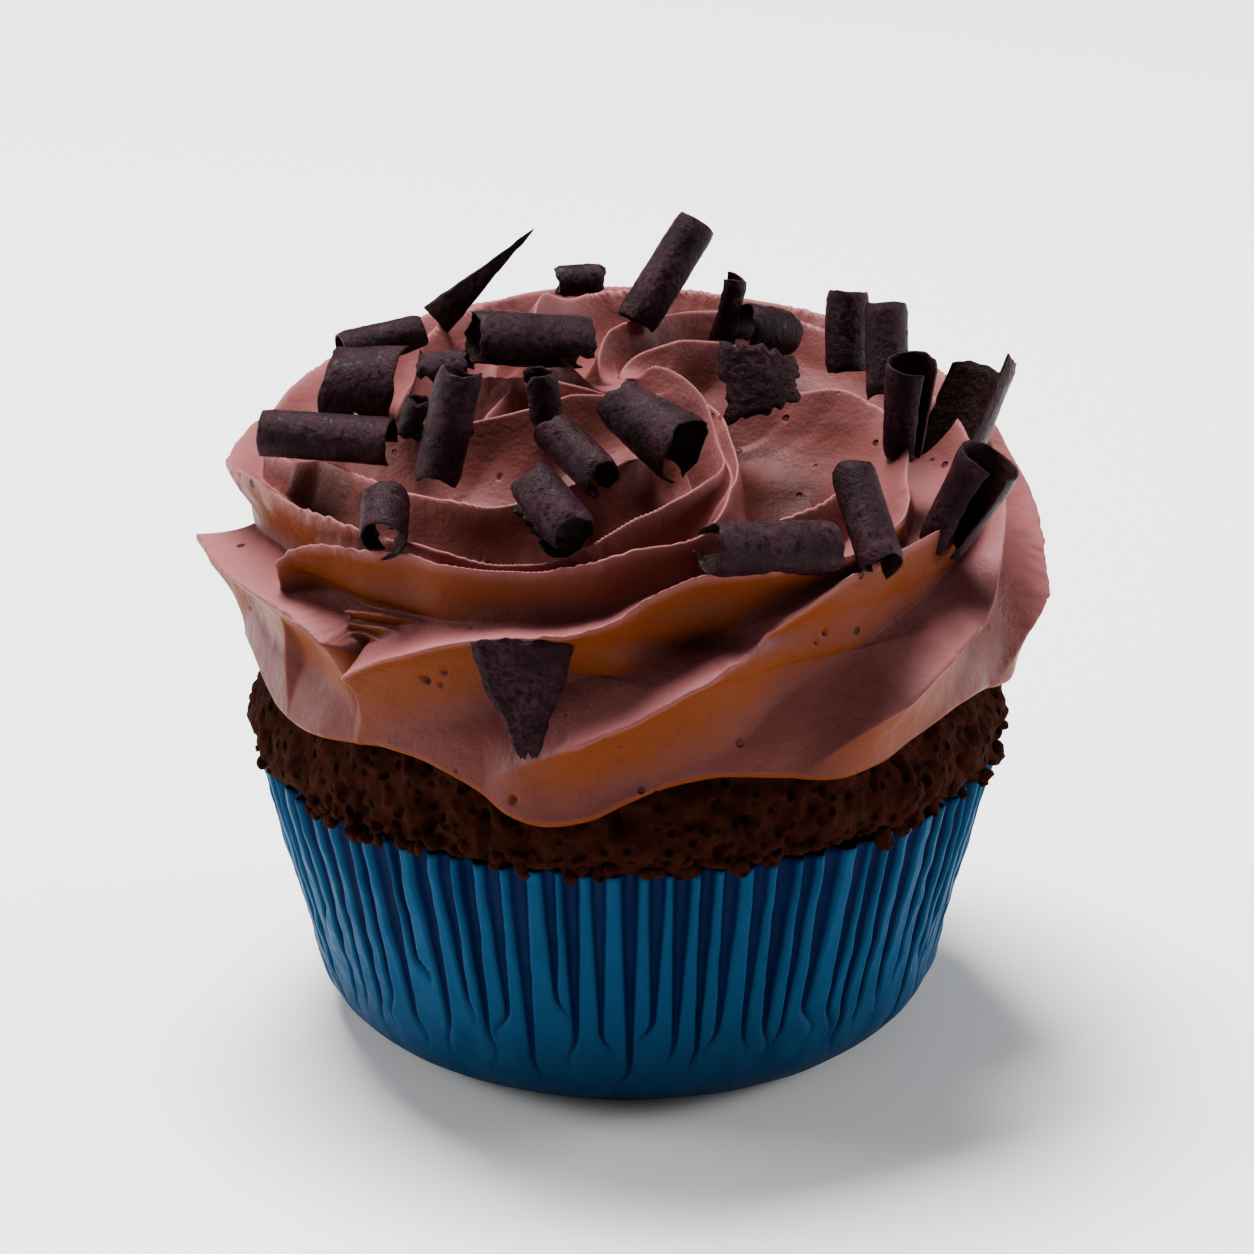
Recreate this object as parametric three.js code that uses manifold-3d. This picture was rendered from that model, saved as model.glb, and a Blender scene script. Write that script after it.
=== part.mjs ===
// A chocolate cupcake in a fluted baking case, with a star-piped buttercream swirl
// and loose chocolate curls. Millimetres, +Z up. The origin is the centre of the
// case's flat base, -Y is the front and azimuths run from the front towards +X.

import * as THREE from 'three';
import { mergeVertices } from 'three/addons/utils/BufferGeometryUtils.js';
import Module from 'manifold-3d';

const wasm = await Module();
wasm.setup();

// Driving dimensions
const clearance = 0.3;            // gap between pieces that touch
const caseBaseRadius = 28.5;      // where the side would meet the floor if it had no corner
const caseRimRadius = 34.7;
const caseHeight = 27.8;
const caseCornerRadius = 6;
const paperThickness = 0.4;
const pleatCount = 88;
const pleatDepth = 1.2;           // crest to valley, at the rim
const cakeOverhang = 0.8;         // of the crumb edge beyond the rim
const cakeBandHeight = 3.5;       // upright crumb band above the rim
const cakeDomeHeight = 11.3;      // from the top of the band to the top of the dome
const crumbRoughness = 0.45;
const frostingOverhang = 1.8;     // of the lower edge beyond the crumb band
const frostingBelly = 2.3;        // of the widest ridge beyond the lower edge
const frostingLipRise = 4.8;      // from the top of the band to the lower edge
const outlineDrop = 7.4;          // the outline starts this far below the lower edge
const lipTuck = 0.7;              // the underside starts this far in from the lower edge
const lipTuckRise = 0.2;
const shoulderShare = 0.948;      // of the band radius, where the underside leaves the dome
const frostingCover = 22.1;       // from the top of the dome to the top of the swirl
const frostingBackRise = 5.5;     // the swirl stands higher at its back
const frostingFloorGap = 0.4;     // between the cake's dome and the swirl's underside
const lobeDip = 2.4;              // how far a lobe of the lower edge hangs down
const ridgeCount = 8;             // teeth of the piping nozzle
const ridgeDepth = 4.8;           // deepest valley between two ridges
const firstRidgeAzimuth = -21;
const leftFullness = 2.8;         // the swirl's shoulder bulges out on its left
const curlThickness = 0.75;

const cakeSegments = 64;
const columnsPerTooth = 7;
const rowsPerValley = 5;

const radians = THREE.MathUtils.degToRad;
const degrees = THREE.MathUtils.radToDeg;
const smoothstep = THREE.MathUtils.smoothstep;

// Materials
function material(color, roughness) {
  return new THREE.MeshStandardMaterial({ color, roughness, metalness: 0 });
}
const paperMaterial = () => material(0x0a7ba6, 0.4);
const cakeMaterial = () => material(0x2e1009, 0.95);
const frostingMaterial = () => material(0xb98a86, 0.6);
const chocolateMaterial = () => material(0x2a1a1e, 0.5);

// Helpers

// A value read from a list of [x, y] points, joined by smooth monotone steps.
function curveAt(points, x) {
  const last = points.length - 1;
  if (x <= points[0][0]) return points[0][1];
  if (x >= points[last][0]) return points[last][1];
  let i = 0;
  while (points[i + 1][0] < x) i += 1;
  const slope = (j) => (points[j + 1][1] - points[j][1]) / (points[j + 1][0] - points[j][0]);
  const tangent = (j) => {
    if (j === 0) return slope(0);
    if (j === last) return slope(last - 1);
    const before = slope(j - 1);
    const after = slope(j);
    return before * after <= 0 ? 0 : (2 * before * after) / (before + after);
  };
  const span = points[i + 1][0] - points[i][0];
  const t = (x - points[i][0]) / span;
  const rise = points[i + 1][1] - points[i][1];
  const start = tangent(i) * span;
  const end = tangent(i + 1) * span;
  return points[i][1] + start * t + (3 * rise - 2 * start - end) * t * t
    + (start + end - 2 * rise) * t * t * t;
}

// The same direction always gives the same number, so that neighbouring sheets meet.
function wrapped(azimuth) {
  const turned = Math.round(azimuth * 1e6) / 1e6;
  return ((turned % 360) + 360) % 360;
}

function polar(azimuth, radius, z) {
  const a = radians(azimuth);
  return [radius * Math.sin(a), -radius * Math.cos(a), z];
}

function meshFromTriangles(triangles) {
  const geometry = new THREE.BufferGeometry();
  const flat = new Float32Array(triangles.flat(2));
  geometry.setAttribute('position', new THREE.BufferAttribute(flat, 3));
  return closedGeometry(geometry);
}

// Shared vertices merged and flat slivers left out.
function closedGeometry(source) {
  const bare = source.clone();
  bare.deleteAttribute('normal');
  bare.deleteAttribute('uv');
  const merged = mergeVertices(bare, 1e-4);
  const kept = [];
  const index = merged.index.array;
  for (let i = 0; i < index.length; i += 3) {
    const [a, b, c] = [index[i], index[i + 1], index[i + 2]];
    if (a !== b && b !== c && c !== a) kept.push(a, b, c);
  }
  merged.setIndex(kept);
  return merged;
}

function toSolid(geometry) {
  const closed = closedGeometry(geometry);
  return new wasm.Manifold(new wasm.Mesh({
    numProp: 3,
    vertProperties: new Float32Array(closed.attributes.position.array),
    triVerts: new Uint32Array(closed.index.array),
  }));
}

function toGeometry(solid) {
  const mesh = solid.getMesh();
  const geometry = new THREE.BufferGeometry();
  geometry.setAttribute('position', new THREE.BufferAttribute(mesh.vertProperties, 3));
  geometry.setIndex(new THREE.BufferAttribute(mesh.triVerts, 1));
  return geometry;
}

function largestBody(solid) {
  const bodies = solid.decompose();
  return bodies.reduce((best, body) => (body.volume() > best.volume() ? body : best));
}

// Moves one vertex away from the Z axis.
function pushOut(position, i, distance) {
  const scale = 1 + distance / Math.hypot(position.getX(i), position.getY(i));
  position.setX(i, position.getX(i) * scale);
  position.setY(i, position.getY(i) * scale);
}

function namedMesh(name, geometry, surface) {
  geometry.computeVertexNormals();
  const mesh = new THREE.Mesh(geometry, surface);
  mesh.name = name;
  return mesh;
}

// Paper case: one thin sheet, smooth at the base and fluted up to the rim.

const cornerRows = [0.12, 0.45, 1];   // heights of the rings, as shares of the corner
const wallRows = [0.55, 1];           // and of the case
const caseSlope = (caseRimRadius - caseBaseRadius) / caseHeight;

function caseRadiusAt(z) {
  const corner = Math.max(0, caseCornerRadius - z);
  const inset = caseCornerRadius - Math.sqrt(caseCornerRadius ** 2 - corner ** 2);
  return caseBaseRadius + caseSlope * z - inset;
}

function halfPleatAt(z) {
  return 0.5 * pleatDepth * smoothstep(z, 0.5 * caseCornerRadius, caseHeight);
}

function paperCase() {
  const heights = [0, ...cornerRows].map((share) => share * caseCornerRadius)
    .concat(wallRows.map((share) => share * caseHeight));
  const outer = heights.map((z) => new THREE.Vector2(caseRadiusAt(z), z));
  const inner = heights.map((z) => (
    new THREE.Vector2(caseRadiusAt(z) - paperThickness, Math.max(z, paperThickness))
  ));
  inner[0].x = inner[1].x - 0.5;
  const profile = [new THREE.Vector2(0, 0), ...outer, ...inner.reverse(),
    new THREE.Vector2(0, paperThickness)];
  const geometry = new THREE.LatheGeometry(profile, 2 * pleatCount);
  geometry.rotateX(Math.PI / 2);
  const rowLength = profile.length;
  const position = geometry.attributes.position;
  for (let i = 0; i < position.count; i += 1) {
    const column = Math.floor(i / rowLength) % (2 * pleatCount);
    const side = column % 2 === 0 ? 1 : -1;
    const depth = halfPleatAt(position.getZ(i));
    if (depth > 0) pushOut(position, i, side * depth);
  }
  return closedGeometry(geometry);
}

// Cake: one baked solid that fills the case and bulges over its rim.

const cakeBandBottom = caseHeight + clearance;
const cakeBandTop = cakeBandBottom + cakeBandHeight;
const cakeBandRadius = caseRimRadius + cakeOverhang;

function cakeInnerRadiusAt(z) {
  return caseRadiusAt(z) - halfPleatAt(z) - paperThickness - clearance;
}

const crumbLift = 0.1;            // of the crumb's overhang above its own clearance
const bandEdgeInset = 0.4;        // of the band's lower corner

// The dome's outline, as [share of the band radius, share of the dome height].
const domeOutline = [[1, 0], [0.955, 0.34], [0.88, 0.56], [0.69, 0.77], [0.36, 0.94], [0, 1]];

function domePoints(offset) {
  return domeOutline.map(([across, up]) => new THREE.Vector2(
    across * cakeBandRadius,
    cakeBandTop + up * cakeDomeHeight + offset,
  ));
}

function crumbAt(azimuth) {
  return crumbRoughness * (0.5 * Math.sin(7 * azimuth + 1) + 0.35 * Math.sin(13 * azimuth + 0.5)
    + 0.3 * Math.sin(23 * azimuth + 2));
}

function cake() {
  const floor = paperThickness + clearance;
  const corner = cornerRows.map((share) => {
    const z = share * caseCornerRadius;
    return new THREE.Vector2(cakeInnerRadiusAt(z), z + floor);
  });
  const wall = wallRows.map((share) => {
    const z = share * caseHeight;
    return new THREE.Vector2(cakeInnerRadiusAt(z), z);
  });
  const base = new THREE.Vector2(corner[0].x - 1, floor);
  const neck = new THREE.Vector2(cakeInnerRadiusAt(caseHeight), cakeBandBottom + crumbLift);
  const band = [
    new THREE.Vector2(cakeBandRadius - bandEdgeInset, cakeBandBottom + crumbLift),
    new THREE.Vector2(cakeBandRadius, cakeBandBottom + 0.45 * cakeBandHeight),
  ];
  const centre = new THREE.Vector2(0, floor);
  const profile = [centre, base, ...corner, ...wall, neck, ...band, ...domePoints(0)];
  const geometry = new THREE.LatheGeometry(profile, cakeSegments);
  geometry.rotateX(Math.PI / 2);
  const position = geometry.attributes.position;
  for (let i = 0; i < position.count; i += 1) {
    const [x, y, z] = [position.getX(i), position.getY(i), position.getZ(i)];
    const inBand = Math.hypot(x, y) > cakeBandRadius - bandEdgeInset - 0.1 && z > cakeBandBottom;
    if (inBand) pushOut(position, i, crumbAt(Math.atan2(y, x)));
  }
  return closedGeometry(geometry);
}

// Frosting: one piped rope wound up into a swirl. Every tooth of the nozzle leaves a
// ridge that starts at the lower edge and winds once around the swirl to its top.

// The outline that the ridges touch, as [share of the way up, share of the radius].
const outlineRadius = [[0, 0.92], [0.15, 0.975], [0.3, 1], [0.42, 0.992], [0.52, 0.934],
  [0.62, 0.833], [0.75, 0.631], [0.88, 0.328], [1, 0]];
// The same outline, as [share of the way up, share of the height above the lowest lobe].
const outlineHeight = [[0, 0], [0.15, 0.139], [0.3, 0.333], [0.42, 0.5], [0.52, 0.653],
  [0.62, 0.75], [0.75, 0.836], [0.88, 0.917], [1, 1]];
// How far up a ridge is, for each angle that it has turned since it began.
const ridgeClimb = [[0, 0.19], [10, 0.28], [20, 0.35], [32, 0.43], [43, 0.51], [52, 0.55],
  [65, 0.58], [95, 0.6], [112, 0.64], [125, 0.68], [143, 0.72], [160, 0.75], [180, 0.81],
  [208, 0.92], [240, 0.96], [300, 0.985], [360, 1]];
// The section from one ridge up to the next, as [share across, share of the depth].
const valleySection = [[0, 0], [0.1, 0.62], [0.24, 1], [0.45, 0.84], [0.72, 0.4], [1, 0]];

const frostingLipRadius = cakeBandRadius + frostingOverhang;
const frostingRadius = frostingLipRadius + frostingBelly;
const frostingLipHeight = cakeBandTop + frostingLipRise;
const frostingHeight = cakeBandTop + cakeDomeHeight + frostingCover;
const outlineBottom = frostingLipHeight - outlineDrop;
const lipCrestRise = 0.9;         // of the lower edge's high points above its height
const deepestLobeAzimuth = firstRidgeAzimuth + 10;
const deepestLobeSpread = 13;     // degrees
const lobePhase = 0.22;           // where a lobe hangs lowest, as a share of a tooth
const leftAzimuth = 265;
const leftSpread = 38;            // degrees
const leftSag = 0.65;             // of the bulge below the left shoulder

function bump(x, centre, width) {
  return Math.exp(-(((x - centre) / width) ** 2));
}

function outlineAt(azimuth, up) {
  const rise = frostingBackRise * Math.max(0, -Math.cos(radians(azimuth)))
    * smoothstep(up, 0.3, 0.6) * curveAt(outlineRadius, up);
  const left = leftFullness * bump(wrapped(azimuth), leftAzimuth, leftSpread);
  return {
    radius: frostingRadius * curveAt(outlineRadius, up) + left * bump(up, 0.6, 0.08),
    z: outlineBottom + (frostingHeight - outlineBottom) * curveAt(outlineHeight, up) + rise
      - leftSag * left * bump(up, 0.57, 0.045),
  };
}

function lowerEdgeAt(azimuth) {
  const phase = ((azimuth - firstRidgeAzimuth) * ridgeCount) / 360;
  const lobe = Math.cos(2 * Math.PI * (phase - lobePhase));
  const fromDeepest = wrapped(azimuth - deepestLobeAzimuth + 180) - 180;
  const deepest = bump(fromDeepest, 0, deepestLobeSpread);
  const dip = lobeDip * (0.35 * (1 + lobe) + deepest);
  return { radius: frostingLipRadius, z: frostingLipHeight + lipCrestRise - dip };
}

function sectionPoint(lower, upper, across, depth) {
  const dr = upper.radius - lower.radius;
  const dz = upper.z - lower.z;
  const length = Math.hypot(dr, dz);
  if (length < 1e-6) return lower;
  return {
    radius: lower.radius + across * dr - (depth * dz) / length,
    z: lower.z + across * dz + (depth * dr) / length,
  };
}

// Corners of the sheet that hangs from one ridge down to the next one out.
function ridgeSheet(ridge) {
  const step = 360 / ridgeCount / columnsPerTooth;
  const turn = ridgeCount * columnsPerTooth;
  const start = firstRidgeAzimuth + (ridge * 360) / ridgeCount;
  const crest = (column, azimuth) => {
    if (column === 0) return lowerEdgeAt(azimuth);
    if (column >= turn) return { radius: 0, z: frostingHeight };
    return outlineAt(azimuth, curveAt(ridgeClimb, column * step));
  };
  const columns = [];
  for (let column = 0; column <= turn + columnsPerTooth; column += 1) {
    const azimuth = wrapped(start + column * step);
    const lower = column < columnsPerTooth
      ? lowerEdgeAt(azimuth)
      : crest(column - columnsPerTooth, azimuth);
    const upper = crest(column, azimuth);
    const gap = Math.hypot(upper.radius - lower.radius, upper.z - lower.z);
    const depth = Math.min(ridgeDepth, 0.34 * gap);
    const points = [];
    for (let row = 0; row <= rowsPerValley; row += 1) {
      const [across, share] = valleySection[row];
      const point = sectionPoint(lower, upper, across, depth * share);
      points.push(polar(azimuth, point.radius, point.z));
    }
    columns.push(points);
  }
  return columns;
}

function sheetTriangles(columns) {
  const triangles = [];
  for (let i = 0; i + 1 < columns.length; i += 1) {
    for (let j = 0; j + 1 < columns[i].length; j += 1) {
      const [a, b] = [columns[i][j], columns[i + 1][j]];
      const [c, d] = [columns[i + 1][j + 1], columns[i][j + 1]];
      triangles.push([a, b, c], [a, c, d]);
    }
  }
  return triangles;
}

// The underside, from the lower edge in over the cake's dome to its centre.
function undersideSheet() {
  const inner = domePoints(frostingFloorGap).slice(2);
  const shoulderHeight = 0.5 * (inner[0].y + frostingLipHeight);
  const shoulder = new THREE.Vector2(shoulderShare * cakeBandRadius, shoulderHeight);
  const columns = [];
  const count = ridgeCount * columnsPerTooth;
  for (let column = 0; column <= count; column += 1) {
    const azimuth = wrapped(firstRidgeAzimuth + (column * 360) / count);
    const edge = lowerEdgeAt(azimuth);
    const rings = [new THREE.Vector2(edge.radius - lipTuck, edge.z + lipTuckRise), shoulder, ...inner];
    const points = [polar(azimuth, edge.radius, edge.z)]
      .concat(rings.map((ring) => polar(azimuth, ring.x, ring.y)));
    columns.push(points.reverse());
  }
  return columns;
}

function frostingSwirl() {
  const triangles = sheetTriangles(undersideSheet());
  for (let ridge = 0; ridge < ridgeCount; ridge += 1) {
    triangles.push(...sheetTriangles(ridgeSheet(ridge)));
  }
  return meshFromTriangles(triangles);
}

// Height of the ridge outline at a distance from the swirl's centre.
function outlineTopAt(azimuth, radius) {
  let low = 0.36;
  let high = 1;
  for (let i = 0; i < 30; i += 1) {
    const middle = 0.5 * (low + high);
    if (outlineAt(azimuth, middle).radius > radius) low = middle;
    else high = middle;
  }
  return outlineAt(azimuth, low).z;
}

// Chocolate pieces: thin shavings, each rolled about its own axis.
// Where it lies: x and y on a swirl of the layout radius, and height above the ridges.
// How it lies: heading and tilt of the axis, and spin about it (0 has its back up).
// Its shape: radius, length and sweep of the roll. Growth is how much the radius gains
// in one full turn, taper how much it gains along the axis, tip how much the sheet
// shortens along its sweep, wedge how much the sweep narrows along the axis and skew
// how far the sheet's end slides along the axis.
const layoutRadius = 39.6;
const curls = [
  { at: [-27.3, -9.8, 2], turn: [-12, 0, 20], radius: 2.1, length: 12.4, sweep: 260 },
  { at: [-24.8, 1.5, 2.8], turn: [-5, 2, 50], radius: 4, length: 7.1, sweep: 120, skew: 1.5 },
  { at: [-23.1, 10.8, 1.7], turn: [20, 10, 0], radius: 1.6, length: 8.6, sweep: 330, taper: -0.3 },
  { at: [-13.6, 18, 4.2], turn: [0, 44, 80], radius: 5, length: 13.5, sweep: 42, wedge: 0.9 },
  { at: [-9, 1.9, 1.9], turn: [-164, 8, 40], radius: 2.2, length: 11.6, sweep: 290, growth: 0.9 },
  { at: [-16.8, 2, 0.9], turn: [-10, 5, 0], radius: 1.7, length: 4.2, sweep: 220 },
  { at: [-15.7, -15.6, 3.3], turn: [45, 72, 0], radius: 1.4, length: 10.6, sweep: 370, growth: 1.1 },
  { at: [-19.3, -8.2, 1.2], turn: [10, 78, 0], radius: 1.1, length: 4.4, sweep: 300 },
  { at: [-7.6, -10.1, 1.6], turn: [0, -82, 0], radius: 1.4, length: 5.6, sweep: 320 },
  { at: [-4.5, -19.3, 1.5], turn: [-47, -24, 20], radius: 1.7, length: 7.8, sweep: 320 },
  { at: [2.1, -14.9, 1.4], turn: [-42, -18, 0], radius: 2.6, length: 9, sweep: 320, taper: 0.4 },
  { at: [-6.8, -27.5, 1.8], turn: [-51, -28, -20], radius: 1.5, length: 7.2, sweep: 380, growth: 1.1 },
  { at: [-21.7, -25, 1.9], turn: [-90, -22, 10], radius: 1.3, length: 6, sweep: 340, growth: 1.1 },
  { at: [3.7, 15.6, 4], turn: [38, 48, 0], radius: 1.8, length: 11.6, sweep: 330 },
  { at: [9.2, 13.2, 0.9], turn: [0, 78, 170], radius: 1.3, length: 8, sweep: 250 },
  { at: [-4.6, 26.1, 1], turn: [10, 0, 0], radius: 1.3, length: 4.8, sweep: 320 },
  { at: [13, 13.5, 0], turn: [-147, 19, 0], radius: 1.4, length: 6.2, sweep: 340, growth: 1.1 },
  { at: [12.4, -4, 1.6], turn: [-80, -62, 0], radius: 5.5, length: 8.4, sweep: 75, tip: 0.55 },
  { at: [12.7, -30.4, 1.5], turn: [-158, 7, -85], radius: 1.7, length: 11.8, sweep: 350, growth: 1.1 },
  { at: [20.9, -25.8, 2.4], turn: [-70, -41, 10], radius: 1.3, length: 10.2, sweep: 350, growth: 1.1 },
  { at: [20.8, 10.2, 2.4], turn: [-90, -72, 10], radius: 1.8, length: 8, sweep: 250 },
  { at: [24.3, 5.5, 3.2], turn: [-90, -62, -20], radius: 1.8, length: 9.4, sweep: 250 },
  { at: [25.6, -7.4, 3.4], turn: [-72, 78, 30], radius: 1.9, length: 10.2, sweep: 330, taper: 0.3 },
  { at: [33.4, 1.2, 2.2], turn: [40, 62, 165], radius: 4.6, length: 9.8, sweep: 150, skew: 2 },
  { at: [30.3, -18.2, 2.5], turn: [-16, 63, -60], radius: 2.4, length: 10.2, sweep: 330, taper: 0.35 },
  { at: [-8.8, -37.4, -4], turn: [-82, -76, 0], radius: 12, length: 10.6, sweep: 48, wedge: 0.8 },
];

const rolledSweep = 200;         // a sheet bent less than this isn't a roll

// A flat plate of the shaving's thickness, rolled up. Grow widens it on every side.
// A roll's own centre is on its axis, and a bent sheet's is in the middle of its back.
function curlGeometry(curl, grow) {
  const { radius, length, sweep, growth = 0, taper = 0, tip = 0, wedge = 0, skew = 0 } = curl;
  const thickness = curlThickness + 2 * grow;
  const steps = Math.max(4, Math.round(sweep / 30));
  const plate = new THREE.BoxGeometry(1, 1, 1, 1, steps, 1);
  const position = plate.attributes.position;
  for (let i = 0; i < position.count; i += 1) {
    const along = position.getX(i);
    const around = position.getY(i);
    const through = position.getZ(i);
    const share = around + 0.5;
    const h = along * (length * (1 - tip * share) + 2 * grow) + skew * around;
    const narrowing = 1 - wedge * (0.5 + along);
    const margin = 2 * degrees(grow / radius);
    const angle = radians((sweep * narrowing + margin) * around);
    const mean = (radius + (growth * share * sweep) / 360) * (1 + (taper * h) / length);
    const r = mean + through * thickness;
    const drop = sweep < rolledSweep ? radius : 0;
    position.setXYZ(i, h, r * Math.sin(angle), r * Math.cos(angle) - drop);
  }
  return closedGeometry(plate);
}

// The room a shaving takes up in the frosting: a rolled one takes its hollow too.
function pocketGeometry(curl) {
  if (curl.sweep < rolledSweep) return curlGeometry(curl, clearance);
  const { radius, length, sweep, growth = 0, taper = 0 } = curl;
  const outer = radius + (growth * sweep) / 360 + 0.5 * curlThickness + clearance;
  const plug = new THREE.CylinderGeometry(
    outer * (1 + 0.5 * taper),
    outer * (1 - 0.5 * taper),
    length + 2 * clearance,
    16,
  );
  plug.rotateZ(-Math.PI / 2);
  return closedGeometry(plug);
}

function curlMatrix(curl) {
  const spread = frostingRadius / layoutRadius;
  const [x, y, lift] = curl.at;
  const [heading, tilt, spin] = curl.turn;
  const azimuth = degrees(Math.atan2(x, -y));
  const top = outlineTopAt(azimuth, spread * Math.hypot(x, y));
  const place = [spread * x, spread * y, top + lift];
  const angles = new THREE.Euler(radians(spin), radians(-tilt), radians(heading), 'ZYX');
  return new THREE.Matrix4().compose(
    new THREE.Vector3(...place),
    new THREE.Quaternion().setFromEuler(angles),
    new THREE.Vector3(1, 1, 1),
  );
}

// Pieces laid later are trimmed where they would cross a piece that is already there.
function chocolatePieces() {
  const pieces = [];
  for (const [number, curl] of curls.entries()) {
    const matrix = curlMatrix(curl);
    let solid = toSolid(curlGeometry(curl, 0).applyMatrix4(matrix));
    for (const piece of pieces) {
      if (!solid.intersect(piece.room).isEmpty()) solid = largestBody(solid.subtract(piece.room));
    }
    pieces.push({
      name: `chocolate_curl_${String(number + 1).padStart(2, '0')}`,
      solid,
      room: toSolid(curlGeometry(curl, clearance).applyMatrix4(matrix)),
      pocket: toSolid(pocketGeometry(curl).applyMatrix4(matrix)),
    });
  }
  return pieces;
}

const pieces = chocolatePieces();

let frosting = toSolid(frostingSwirl());
for (const piece of pieces) frosting = frosting.subtract(piece.pocket);

const group = new THREE.Group();
group.add(namedMesh('paper_case', paperCase(), paperMaterial()));
group.add(namedMesh('cake', cake(), cakeMaterial()));
group.add(namedMesh('frosting', toGeometry(largestBody(frosting)), frostingMaterial()));
for (const piece of pieces) {
  group.add(namedMesh(piece.name, toGeometry(piece.solid), chocolateMaterial()));
}

export default group;
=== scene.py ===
"""The looks of a chocolate cupcake: a fluted blue baking case, a dark crumb, a star-piped
buttercream swirl and loose chocolate curls.

Shapes are worked out in millimetres and made in metres. The front is -Y, azimuths run in
degrees from the front towards +X, and every random choice is seeded.
"""

import itertools
import math

import bpy
import numpy as np
from mathutils import Euler, Matrix, Vector


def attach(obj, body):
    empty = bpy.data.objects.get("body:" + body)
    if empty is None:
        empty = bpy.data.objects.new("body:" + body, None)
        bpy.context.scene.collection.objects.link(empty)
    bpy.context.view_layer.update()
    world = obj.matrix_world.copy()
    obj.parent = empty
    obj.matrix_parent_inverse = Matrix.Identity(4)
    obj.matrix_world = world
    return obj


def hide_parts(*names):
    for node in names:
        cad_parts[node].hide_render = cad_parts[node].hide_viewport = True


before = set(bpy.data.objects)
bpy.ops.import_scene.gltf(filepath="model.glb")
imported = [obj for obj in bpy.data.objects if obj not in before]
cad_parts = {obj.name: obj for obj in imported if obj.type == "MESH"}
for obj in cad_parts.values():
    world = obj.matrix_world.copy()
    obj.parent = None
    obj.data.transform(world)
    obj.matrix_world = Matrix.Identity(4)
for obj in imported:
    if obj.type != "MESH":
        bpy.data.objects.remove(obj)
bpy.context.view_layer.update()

METRES = 0.001

# ---------------------------------------------------------------- sizes of the cupcake

CASE_BASE_RADIUS = 28.5
CASE_RIM_RADIUS = 34.7
CASE_HEIGHT = 27.8
CASE_CORNER = 6.0
PAPER_THICKNESS = 0.25
PLEATS = 88
PLEAT_DEPTH = 1.2                 # at the rim

BAND_BOTTOM = 28.1
BAND_TOP = 31.6
BAND_RADIUS = 35.5
DOME_HEIGHT = 11.3

FROSTING_RADIUS = 39.6
LIP_HEIGHT = 36.4                 # of the lower edge
LIP_CREST_RISE = 0.9
FROSTING_TOP = 65.0
OUTLINE_DROP = 7.4                # the outline starts this far below the lower edge
OUTLINE_BOTTOM = LIP_HEIGHT - OUTLINE_DROP
OUTLINE_RISE = FROSTING_TOP - OUTLINE_BOTTOM
BACK_RISE = 5.5                   # the swirl stands higher at its back
LOBE_DIP = 2.4                    # how far a lobe of the lower edge hangs down
LOBE_PHASE = 0.22
RIDGES = 8
TOOTH = 360 / RIDGES
FIRST_RIDGE = -21
DEEPEST_LOBE = FIRST_RIDGE + 10
DEEPEST_LOBE_SPREAD = 13
LEFT_FULLNESS = 2.8               # the swirl bulges out on its left
LEFT_AZIMUTH = 265
LEFT_SPREAD = 38
LEFT_SAG = 0.65
UNDERSIDE_GAP = 0.4               # between the cake's dome and the swirl
SHOULDER_SHARE = 0.948            # of the band's radius, where the underside leaves the dome
SHOULDER_HEIGHT = 37.2

CURL_THICKNESS = 0.5

# ---------------------------------------------------------------- numbers to shapes


def smoothstep(x, low, high):
    t = np.clip((x - low) / (high - low), 0, 1)
    return t * t * (3 - 2 * t)


def bump(x, centre, width):
    return np.exp(-(((x - centre) / width) ** 2))


def around(azimuth, centre):
    """Degrees from centre to azimuth, from -180 to 180."""
    return (azimuth - centre + 180) % 360 - 180


class Curve:
    """Points [x, y] joined by smooth monotone steps."""

    def __init__(self, points):
        self.x, self.y = np.array(points, float).T
        slopes = np.diff(self.y) / np.diff(self.x)
        before, after = slopes[:-1], slopes[1:]
        total = np.where(before + after == 0, 1, before + after)
        inner = np.where(before * after > 0, 2 * before * after / total, 0)
        self.tangent = np.concatenate([slopes[:1], inner, slopes[-1:]])

    def __call__(self, x):
        x = np.clip(x, self.x[0], self.x[-1])
        i = np.clip(np.searchsorted(self.x, x) - 1, 0, len(self.x) - 2)
        span = self.x[i + 1] - self.x[i]
        t = (x - self.x[i]) / span
        rise = self.y[i + 1] - self.y[i]
        start, end = self.tangent[i] * span, self.tangent[i + 1] * span
        cubic = (start + end - 2 * rise) * t + 3 * rise - 2 * start - end
        return self.y[i] + (cubic * t + start) * t


LATTICE = np.random.default_rng(11).random((32, 32, 32)) * 2 - 1


def noise(points, cell):
    """Smooth noise from -1 to 1 at each point, with lumps about one cell across."""
    scaled = points / cell
    low = np.floor(scaled).astype(int)
    t = scaled - low
    t = t * t * (3 - 2 * t)
    total = np.zeros(scaled.shape[:-1])
    for corner in itertools.product((0, 1), repeat=3):
        weight = np.prod(np.where(corner, t, 1 - t), axis=-1)
        i = (low + corner) % len(LATTICE)
        total += weight * LATTICE[i[..., 0], i[..., 1], i[..., 2]]
    return total


def polar(azimuth, radius, z):
    a = np.radians(azimuth)
    return np.stack(np.broadcast_arrays(radius * np.sin(a), -radius * np.cos(a), z), axis=-1)


def grid_faces(rows, columns, first=0, closed=False):
    """Quads of a grid whose vertices run along each row in turn. A closed row meets its start."""
    across = np.arange(columns if closed else columns - 1)
    up = np.arange(rows - 1)[:, None] * columns
    a = up + across
    b = up + (across + 1) % columns
    quads = np.stack([a, b, b + columns, a + columns], axis=-1)
    return quads.reshape(-1, 4) + first


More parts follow.
